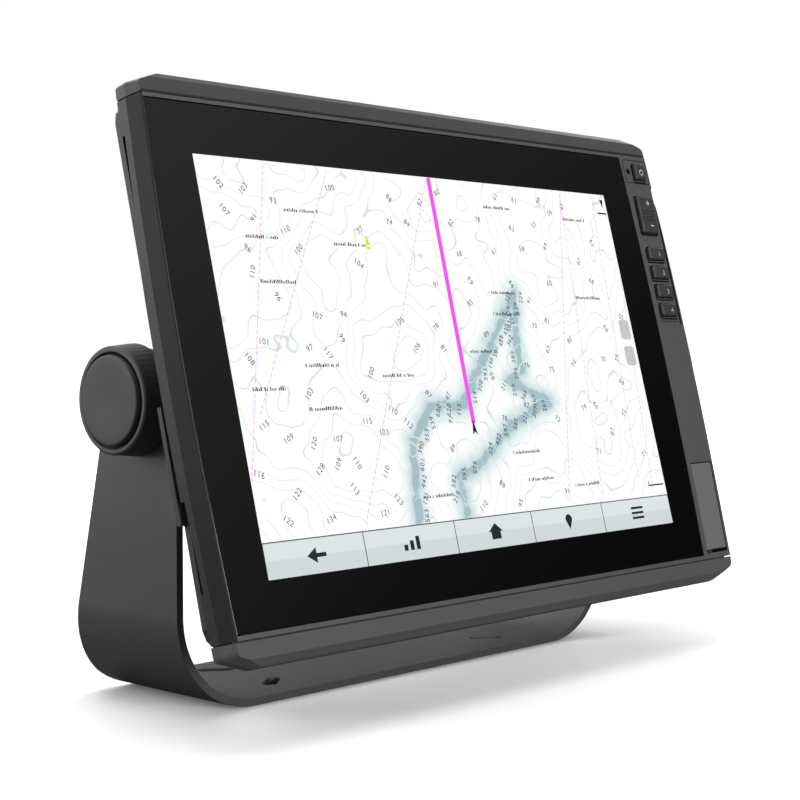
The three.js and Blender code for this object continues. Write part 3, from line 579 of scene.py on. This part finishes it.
for side, turn in (("left", math.pi), ("right", 0)):
    space = AXIS_SPACE @ Matrix.Rotation(turn, 4, "Z") @ Matrix.Translation((HALF_WIDTH, 0, 0))
    skirt = add_piece(f"{side}_knob_skirt", *turned(knob_profile(), 288, flute), space, f"{side}_knob",
                      FINISH["knob_plastic"], "knob_plastic")
    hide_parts(f"{side}_knob")
    crown = add_piece(f"{side}_knob_cap", *turned(crown_profile(), 128), space, f"{side}_knob",
                      FINISH["knob_plastic"], "knob_plastic")
    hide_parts(f"{side}_knob_crown")

# ---- glass ---------------------------------------------------------------------------------------------

BOW_HEIGHT = 102.75
GLASS_X = -11.3
GLASS_HALF_WIDTH = 152.6
GLASS_HALF_HEIGHT = 100.8
GLASS_BOW = 2.9
GLASS_FRONT = 0.2
GLASS_BACK = 1.8


def glass_edge(z):
    """The glass's half width at a height: its sides bow outwards."""
    return GLASS_HALF_WIDTH - GLASS_BOW * (z / BOW_HEIGHT) ** 2


def glass_outline():
    steps = 24
    heights = [-GLASS_HALF_HEIGHT + 2 * GLASS_HALF_HEIGHT * i / steps for i in range(steps + 1)]
    right = [(GLASS_X + glass_edge(z), z) for z in heights]
    left = [(GLASS_X - glass_edge(z), z) for z in reversed(heights)]
    return right + left


glass = add_piece("cover_glass_sheet", *prism(glass_outline(), "y", GLASS_FRONT, GLASS_BACK), HEAD_SPACE,
                  "head", FINISH["cover_glass"], "cover_glass")
bevel(glass, 0.3)
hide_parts("cover_glass")

# ---- flat shapes ---------------------------------------------------------------------------------------
# Outlines of flat (x, z) points, in millimetres, which a place function puts in the head's space.


def at_depth(depth):
    """Puts a flat point at a depth in the head."""
    return lambda x, z: (x, depth, z)


def flat_piece(name, shapes, place, body, material):
    """One piece made of many flat outlines."""
    verts = []
    faces = []
    for outline in shapes:
        start = len(verts)
        verts += [place(x, z) for x, z in outline]
        faces.append(tuple(range(start, start + len(outline))))
    return add_piece(name, verts, faces, HEAD_SPACE, body, material)


def rectangle(x0, z0, x1, z1):
    return [(x0, z0), (x1, z0), (x1, z1), (x0, z1)]


def strip(a, b, width):
    """A straight line of even width between two points."""
    along = Vector((b[0] - a[0], b[1] - a[1])).normalized()
    side = Vector((-along.y, along.x)) * width / 2
    return [
        (a[0] - side.x, a[1] - side.y),
        (b[0] - side.x, b[1] - side.y),
        (b[0] + side.x, b[1] + side.y),
        (a[0] + side.x, a[1] + side.y),
    ]


def dashes(a, b, width, dash, space):
    length = math.dist(a, b)
    shapes = []
    at = 0.0
    while at < length:
        end = min(at + dash, length)
        start_point = [a[k] + (b[k] - a[k]) * at / length for k in (0, 1)]
        end_point = [a[k] + (b[k] - a[k]) * end / length for k in (0, 1)]
        shapes.append(strip(start_point, end_point, width))
        at += dash + space
    return shapes


def band(outer, inner):
    """Quads that fill the space between two lines with the same number of points."""
    return [[outer[i], outer[i + 1], inner[i + 1], inner[i]] for i in range(len(outer) - 1)]


def closed(outline):
    return outline + outline[:1]


GLYPHS = {}
ADVANCE = 0.56  # from one numeral to the next, as a share of their size


def glyph(character):
    """The flat mesh of one numeral a unit high, as (points, faces), its middle at the origin."""
    if character not in GLYPHS:
        curve = bpy.data.curves.new("numeral", "FONT")
        curve.body = character
        curve.align_x = "CENTER"
        curve.align_y = "CENTER"
        curve.resolution_u = 3
        holder = bpy.data.objects.new("numeral", curve)
        bpy.context.scene.collection.objects.link(holder)
        bpy.context.view_layer.update()
        mesh = bpy.data.meshes.new_from_object(holder)
        points = [(v.co.x, v.co.y) for v in mesh.vertices]
        GLYPHS[character] = (points, [tuple(face.vertices) for face in mesh.polygons])
        bpy.data.objects.remove(holder)
        bpy.data.curves.remove(curve)
        bpy.data.meshes.remove(mesh)
    return GLYPHS[character]


def numbers_piece(name, labels, size, place, material, body):
    """Small flat numerals. Each label is (text, x, z, turn in degrees)."""
    verts = []
    faces = []
    for text, x, z, turn in labels:
        c, s = math.cos(math.radians(turn)), math.sin(math.radians(turn))
        for k, character in enumerate(text):
            points, polygons = glyph(character)
            start = len(verts)
            along = (k - (len(text) - 1) / 2) * ADVANCE
            for u, v in points:
                u, v = (u + along) * size, v * size
                verts.append(place(x + u * c - v * s, z + u * s + v * c))
            faces += [tuple(start + i for i in polygon) for polygon in polygons]
    return add_piece(name, verts, faces, HEAD_SPACE, body, material)


# ---- what the display shows ----------------------------------------------------------------------------
# Millimetres from the centre of the lit area, which has its own place in the head.

SCREEN_X = -11.5
SCREEN_Z = -1.4
SCREEN_HALF_WIDTH = 130.5
SCREEN_HALF_HEIGHT = 81.6
BAR_TOP = -67.8
FIRST_LAYER = 0.02  # the picture starts this far in front of the glass
LAYER = 0.012  # each layer of the picture lies this far in front of the one below
CHART_STEP = 2

# An imaginary canyon that runs down the middle of the chart, and the cable tracks, on a 5 mm grid.
WEST_WALL = [(45, 30), (35, 20), (25, 10), (15, 0), (-5, -20), (-25, -20), (-40, -35), (-45, -70)]
EAST_WALL = [(45, 30), (40, 10), (40, -5), (30, -10), (55, -20), (25, -30), (0, -45), (-15, -50), (-15, -70)]
TRACKS = [
    ((-95, 80), (-130, -45)),
    ((-60, 80), (-120, -20)),
    ((0, 80), (-75, -65)),
    ((95, 80), (55, -65)),
    ((95, 80), (80, -65)),
    ((120, 80), (110, -60)),
    ((130, 40), (120, -65)),
]
COURSE = ((2, 81.4), (0.2, -28))

MAGENTA = lit("course_magenta", (0.9, 0.1, 0.88))
PINK = lit("track_pink", (0.9, 0.42, 0.85))
INK = lit("chart_ink", (0.03, 0.03, 0.12))
DARK = lit("label_ink", (0.02, 0.025, 0.03))
YELLOW = lit("buoy_yellow", (0.72, 0.75, 0.04))
KEY_LIGHT = lit("bar_light", (0.72, 0.79, 0.79))
KEY_SHADE = lit("bar_shade", (0.64, 0.7, 0.71))
KEY_LINE = lit("bar_line", (0.12, 0.15, 0.16))
OVERLAY = see_through("zoom_overlay", (0.42, 0.42, 0.44), 0.75)


def on_layer(layer):
    """Puts a flat point of the display on one layer of its picture."""
    depth = GLASS_FRONT - FIRST_LAYER - layer * LAYER
    return lambda x, z: (x + SCREEN_X, depth, z + SCREEN_Z)


def screen_piece(name, shapes, layer, material):
    flat_piece(name, shapes, on_layer(layer), "head", material)


def distance_to(point, line):
    """How far a point is from a line of straight pieces."""
    best = math.inf
    for a, b in zip(line, line[1:]):
        ab = Vector(b) - Vector(a)
        t = max(0, min(1, (Vector(point) - Vector(a)).dot(ab) / ab.length_squared))
        best = min(best, (Vector(a) + ab * t - Vector(point)).length)
    return best


def distance_to_canyon(point):
    return min(distance_to(point, WEST_WALL), distance_to(point, EAST_WALL))


def chart_piece():
    """The chart as a grid whose points know how far they are from the canyon's walls."""
    height = SCREEN_HALF_HEIGHT - BAR_TOP
    columns = int(2 * SCREEN_HALF_WIDTH / CHART_STEP)
    rows = int(height / CHART_STEP)
    flat = []
    for j in range(rows + 1):
        for i in range(columns + 1):
            x = -SCREEN_HALF_WIDTH + 2 * SCREEN_HALF_WIDTH * i / columns
            flat.append((x, BAR_TOP + height * j / rows))
    faces = []
    wide = columns + 1
    for j in range(rows):
        for i in range(columns):
            a = j * wide + i
            faces.append((a, a + 1, a + 1 + wide, a + wide))
    place = on_layer(0)
    verts = [place(x, z) for x, z in flat]
    piece = add_piece("chart_picture", verts, faces, HEAD_SPACE, "head", chart_material())
    depth = piece.data.attributes.new("canyon", "FLOAT", "POINT")
    for value, point in zip(depth.data, flat):
        value.value = distance_to_canyon(point)


def chart_marks():
    """The course, the cable tracks, and the small marks at the chart's edges."""
    screen_piece("course_line", [strip(*COURSE, 2.6)], 3, MAGENTA)
    screen_piece("cable_tracks", [s for a, b in TRACKS for s in dashes(a, b, 0.4, 1.9, 0.9)], 2, PINK)
    buoy = [[(-45.4, 49), (-42.6, 49), (-44, 53.6)], rectangle(-45.2, 47.4, -42.8, 48.4)]
    screen_piece("buoy", buoy, 3, YELLOW)
    boat = [(-1.6, -33), (0, -31.6), (1.6, -33), (0.2, -26.5), (-0.2, -26.5)]
    screen_piece("boat_marker", [boat], 4, DARK)
    north = [[(126, 79), (128.6, 79), (127.3, 74.5)], rectangle(122.5, 71.6, 129.5, 72.4)]
    screen_piece("north_mark", north, 3, DARK)
    scale = [rectangle(117, -63, 129, -62.3), rectangle(117, -63, 117.6, -60.5)]
    screen_piece("scale_line", scale, 3, DARK)
    buttons = [rounded_box(124.5, z, 3.9, 4.8, 1.6) for z in (13.5, 0.5)]
    screen_piece("zoom_buttons", buttons, 3, OVERLAY)


chart_piece()
chart_marks()

NAME_COUNT = 18
NAME_LENGTH = 18
SOUNDING_COUNT = 105
SOUNDING_SIZE = 3.5
WALL_OFFSET = 4.5
WALL_SPACING = 6.5


def name_places():
    """Where the chart's names go: spread out, and clear of the course line and the zoom buttons."""
    draw = random.Random(12)
    places = []
    while len(places) < NAME_COUNT:
        x = draw.uniform(-115, 105)
        z = draw.uniform(-62, 74)
        crowded = any(abs(x - other[0]) < 26 and abs(z - other[1]) < 9 for other in places)
        if not crowded and abs(x) > NAME_LENGTH / 2 + 3:
            places.append((x, z))
    return places


NAMES = name_places()


def soundings():
    """Depth numbers scattered over the chart, deeper towards the lower left, and thick in the canyon."""
    draw = random.Random(7)
    labels = []
    while len(labels) < SOUNDING_COUNT:
        x = draw.uniform(-126, 124)
        z = draw.uniform(-64, 78)
        crowded = any(math.dist((x, z), (label[1], label[2])) < 9 for label in labels)
        on_name = any(abs(x - name_x) < 14 and abs(z - name_z) < 4 for name_x, name_z in NAMES)
        if crowded or on_name or distance_to_canyon((x, z)) < 4 or -3 < x < 6:
            continue
        value = 90 + 0.22 * -x + 0.2 * -z + draw.uniform(-12, 12)
        labels.append((str(int(abs(value))), x, z, draw.uniform(-70, 70)))
    for wall, offset in ((WEST_WALL, WALL_OFFSET), (EAST_WALL, -WALL_OFFSET)):
        for a, b in zip(wall, wall[1:]):
            pieces = max(1, int(math.dist(a, b) / WALL_SPACING))
            for k in range(pieces):
                x = a[0] + (b[0] - a[0]) * k / pieces + offset
                z = a[1] + (b[1] - a[1]) * k / pieces - WALL_OFFSET * 0.4
                if z > -65 and not -3 < x < 3:
                    labels.append((str(draw.randint(110, 620)), x, z, draw.uniform(50, 100)))
    return labels


def name_bars():
    """Place names are shown only as rows of tiny strokes."""
    draw = random.Random(3)
    shapes = []
    for x, z in NAMES:
        at = x - NAME_LENGTH / 2
        while at < x + NAME_LENGTH / 2:
            wide = draw.uniform(0.35, 0.75)
            tall = draw.choice((1.0, 1.0, 1.5))
            shapes.append(rectangle(at, z, at + wide, z + tall))
            at += wide + (1.3 if draw.random() < 0.14 else 0.4)
    return shapes


numbers_piece("depth_soundings", soundings(), SOUNDING_SIZE, on_layer(4), INK, "head")
screen_piece("name_marks", name_bars(), 4, DARK)

# The row of screen keys, each with a plain sign.
BAR_EDGES = [-SCREEN_HALF_WIDTH, -78, -24.5, 26, 77, SCREEN_HALF_WIDTH]
BAR_CELLS = list(zip(BAR_EDGES, BAR_EDGES[1:]))
BAR_BOTTOM = -SCREEN_HALF_HEIGHT
BAR_MIDDLE = (BAR_TOP + BAR_BOTTOM) / 2
BAR_GAP = 0.25


def bar_row(low, high):
    """One tone of the screen keys: a rectangle for each key between two heights."""
    return [rectangle(a + BAR_GAP, low, b - BAR_GAP, high) for a, b in BAR_CELLS]


def bar_signs():
    """An arrow, three bars, a house, a pin and three lines."""
    z = BAR_MIDDLE
    back, bars, house, pin, menu = [(a + b) / 2 for a, b in BAR_CELLS]
    shapes = [[(back - 5, z), (back, z + 3), (back, z - 3)]]
    shapes.append(rectangle(back - 0.5, z - 0.8, back + 5, z + 0.8))
    for i in range(3):
        left = bars - 5 + 3.6 * i
        shapes.append(rectangle(left, z - 3, left + 2.2, z - 0.6 + 1.5 * i))
    shapes.append([(house - 4.6, z), (house, z + 3.6), (house + 4.6, z)])
    shapes.append(rectangle(house - 3, z - 3.2, house + 3, z))
    shapes.append([(pin - 2.4, z + 1), (pin, z - 3.4), (pin + 2.4, z + 1)])
    shapes.append(arc((pin, z + 1), 2.4, 0, 180, 10))
    for i in range(3):
        low = z - 2.8 + 2.3 * i
        shapes.append(rectangle(menu - 4.6, low, menu + 4.6, low + 1.1))
    return shapes


screen_piece("bar_keys", [rectangle(-SCREEN_HALF_WIDTH, BAR_BOTTOM, SCREEN_HALF_WIDTH, BAR_TOP)], 0, KEY_LINE)
screen_piece("bar_lower", bar_row(BAR_BOTTOM, BAR_MIDDLE), 1, KEY_SHADE)
screen_piece("bar_upper", bar_row(BAR_MIDDLE, BAR_TOP - 0.5), 1, KEY_LIGHT)
screen_piece("bar_signs", bar_signs(), 3, DARK)

# ---- the key column ------------------------------------------------------------------------------------

KEY_FACE = -1.63
GAP_AND_SHADOW_FACE = -0.03
RULE_FACE = -0.02
NUMBER_SIZE = 3.4
KEY_SIZES = {"power_key": (9.2, 8.5), "zoom_rocker": (13.4, 19.2)}
KEY_SIZES.update({name: (13.4, 6.7) for name in SOFTKEYS})
SLACK = 0.33  # between a key and its opening
POWER_PANEL = (151.15, 94.4, 10.05, 6.2, 1.6)  # centre, half width, half height, corner radius
LINE_WIDTH = 0.35
RIDGES = 4
TO_HEAD = HEAD_SPACE.inverted()


def key_centre(name):
    """The middle of a key's box, in the head's space."""
    low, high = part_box(name)
    return TO_HEAD @ ((Vector(low) + Vector(high)) / 2)


def legend(name, shapes, body):
    flat_piece(name, shapes, at_depth(KEY_FACE), body, LEGEND)


def cross_bar(x, z, half_width, half_height):
    return rectangle(x - half_width, z - half_height, x + half_width, z + half_height)


def power_sign():
    """An open ring with a short stroke in its gap."""
    middle = key_centre("power_key")
    outer = arc((middle.x, middle.z), 1.6, 120, 420, 24)
    inner = arc((middle.x, middle.z), 1.2, 120, 420, 24)
    stroke = rectangle(middle.x - 0.22, middle.z + 0.3, middle.x + 0.22, middle.z + 1.8)
    return band(outer, inner) + [stroke]


def zoom_signs():
    """A plus above a minus."""
    middle = key_centre("zoom_rocker")
    x = middle.x + 1.2
    plus = middle.z + 6.2
    minus = middle.z - 5.6
    return [cross_bar(x, plus, 1.3, 0.25), cross_bar(x, plus, 0.25, 1.3), cross_bar(x, minus, 1.3, 0.25)]


def rocker_ridges():
    """Four low ridges across the rocker's middle."""
    middle = key_centre("zoom_rocker")
    for k in range(RIDGES):
        z = middle.z + 2.4 - 1.5 * k
        outline = [(-1.6, z - 0.45), (-1.95, z - 0.2), (-1.95, z + 0.2), (-1.6, z + 0.45)]
        shape = prism(outline, "x", middle.x - 5.4, middle.x + 5.4)
        ridge = add_piece(f"zoom_ridge_{k + 1}", *shape, HEAD_SPACE, "zoom_rocker", FINISH["key_plastic"],
                          "key_plastic")
        bevel(ridge, 0.1)


def key_groove(name):
    """A dark band round a key's opening: the gap all round the key, widened on the left and below by painted
    shadow.
    """
    middle = key_centre(name)
    half_width, half_height = (size / 2 for size in KEY_SIZES[name])
    outer = rounded_box(middle.x - 0.5, middle.z - 0.35, half_width + 0.95, half_height + 0.72, 1.5)
    inner = rounded_box(middle.x, middle.z, half_width + SLACK, half_height + SLACK, 1.2)
    return band(closed(outer), closed(inner))


def panel_line(x, z, half_width, half_height, radius):
    """A thin line round a panel."""
    outer = rounded_box(x, z, half_width, half_height, radius)
    inner = rounded_box(x, z, half_width - LINE_WIDTH, half_height - LINE_WIDTH, radius - LINE_WIDTH)
    return band(closed(outer), closed(inner))


for i, name in enumerate(SOFTKEYS):
    middle = key_centre(name)
    label = (str(i + 1), middle.x + 1.4, middle.z, 0)
    numbers_piece(f"{name}_number", [label], NUMBER_SIZE, at_depth(KEY_FACE), LEGEND, name)
legend("power_sign", power_sign(), "power_key")
legend("zoom_signs", zoom_signs(), "zoom_rocker")
rocker_ridges()
# Each key's opening gets a dark band: a gap all round and painted shadow on the left and below.
for name in KEY_SIZES:
    flat_piece(f"{name}_groove", key_groove(name), at_depth(GAP_AND_SHADOW_FACE), "head", DARK_LINE_AND_PAINTED_SHADOW)
flat_piece("power_outline", panel_line(*POWER_PANEL), at_depth(RULE_FACE), "head", DARK_LINE_AND_PAINTED_SHADOW)
flat_piece("key_rule", [rectangle(145.2, 16.3, 159.6, 16.65)], at_depth(RULE_FACE), "head", DARK_LINE_AND_PAINTED_SHADOW)

# ---- studio --------------------------------------------------------------------------------------------

FLOOR_SIZE = 14
# The floor's painted glow: its strength near the object, and the distances in metres from the middle over
# which it rises to full.
FLOOR_GLOW = 0.05
GLOW_NEAR = 0.35
GLOW_FAR = 1.1
FLOOR_BOUNCE = 0.12
SKY_TOWARDS = Vector((-0.75, -0.1, 0.65)).normalized()
SKY_DARKEST = 0.03
SKY_BRIGHTEST = 0.6
CENTRE = Vector((0, 0, 0.13))
# Square lights aimed at the centre: name, place, size in metres, power in watts.
LIGHTS = [
    ("overhead", (-0.1, 0.1, 1.7), 1.5, 17),
    ("rear_left", (-1.35, 1.25, 0.6), 1.0, 14),
    ("front_low", (-0.35, -1.9, 0.3), 0.8, 34),
    ("rear_high", (0.35, 1.5, 1.1), 0.9, 9),
    ("right_side", (1.7, 0.5, 0.8), 1.0, 9),
]


def floor_material():
    """White to the camera, and dark to the object, as a floor kept out of its reflections is. To the camera
    it also glows, faintly near the object and fully further out: painted light that whitens the floor away
    from the object and leaves it darker round it.
    """
    material, tree, shader = new_material("floor_white")
    link = tree.links.new
    set_inputs(shader, {"Base Color": (0.93, 0.93, 0.93, 1), "Roughness": 0.7, "Specular IOR Level": 0.05,
                        "Emission Color": WHITE})
    place = add_node(tree, "TexCoord")
    away = add_node(tree, "VectorMath", operation="LENGTH")
    glow = add_node(tree, "MapRange", {"From Min": GLOW_NEAR, "From Max": GLOW_FAR, "To Min": FLOOR_GLOW,
                                       "To Max": 1})
    dark = add_node(tree, "BsdfDiffuse", {"Color": (FLOOR_BOUNCE, FLOOR_BOUNCE, FLOOR_BOUNCE, 1)})
    link(place.outputs["Object"], away.inputs[0])
    link(away.outputs["Value"], glow.inputs["Value"])
    link(glow.outputs["Result"], shader.inputs["Emission Strength"])
    split_by_ray(tree, shader, dark, tree.nodes["Material Output"], "BSDF")
    return material


def split_by_ray(tree, seen, felt, output, socket):
    """Shows one shader to the camera, and gives all other rays the other."""
    rays = add_node(tree, "LightPath")
    mix = add_node(tree, "MixShader")
    tree.links.new(rays.outputs["Is Camera Ray"], mix.inputs["Fac"])
    tree.links.new(felt.outputs[socket], mix.inputs[1])
    tree.links.new(seen.outputs[socket], mix.inputs[2])
    tree.links.new(mix.outputs["Shader"], output.inputs["Surface"])


def add_floor():
    half = FLOOR_SIZE / 2
    corners = [(x, y, 0) for x, y in rectangle(-half, -half, half, half)]
    mesh = bpy.data.meshes.new("floor")
    mesh.from_pydata(corners, [], [(0, 1, 2, 3)])
    mesh.materials.append(floor_material())
    floor = bpy.data.objects.new("floor", mesh)
    bpy.context.scene.collection.objects.link(floor)


def add_light(name, place, size, power):
    data = bpy.data.lights.new(name, "AREA")
    data.shape = "RECTANGLE"
    data.size = size
    data.size_y = size
    data.energy = power
    light = bpy.data.objects.new(name, data)
    light.location = place
    light.rotation_euler = (CENTRE - Vector(place)).to_track_quat("-Z", "Y").to_euler()
    bpy.context.scene.collection.objects.link(light)


def studio_world():
    """Soft light that comes mostly from the upper left, and a white backdrop."""
    world = bpy.data.worlds.new("studio")
    world.use_nodes = True
    tree = world.node_tree
    link = tree.links.new
    place = add_node(tree, "TexCoord")
    towards = add_node(tree, "VectorMath", {1: SKY_TOWARDS}, operation="DOT_PRODUCT")
    level = add_node(tree, "MapRange", {"From Min": -0.45, "From Max": 0.1, "To Min": SKY_DARKEST,
                                        "To Max": SKY_BRIGHTEST}, interpolation_type="SMOOTHSTEP")
    sky = add_node(tree, "Background", {"Color": WHITE})
    backdrop = tree.nodes["Background"]
    set_inputs(backdrop, {"Color": WHITE})
    link(place.outputs["Generated"], towards.inputs[0])
    link(towards.outputs["Value"], level.inputs["Value"])
    link(level.outputs["Result"], sky.inputs["Strength"])
    split_by_ray(tree, backdrop, sky, tree.nodes["World Output"], "Background")
    return world


add_floor()
for light in LIGHTS:
    add_light(*light)
bpy.context.scene.world = studio_world()
bpy.context.scene.view_settings.view_transform = "Standard"

# ---- camera --------------------------------------------------------------------------------------------

CAMERA_PLACE = (-0.5563, -0.5437, 0.1503)
CAMERA_DIP = 1.98
CAMERA_HEADING = -46.98
LENS = 75.96
SENSOR_WIDTH = 36
LENS_SHIFT = -0.0075

camera_data = bpy.data.cameras.new("camera")
camera_data.lens = LENS
camera_data.sensor_width = SENSOR_WIDTH
camera_data.shift_y = LENS_SHIFT
camera = bpy.data.objects.new("camera", camera_data)
camera.location = CAMERA_PLACE
camera.rotation_euler = (math.radians(90 - CAMERA_DIP), 0, math.radians(CAMERA_HEADING))
bpy.context.scene.collection.objects.link(camera)
bpy.context.scene.camera = camera
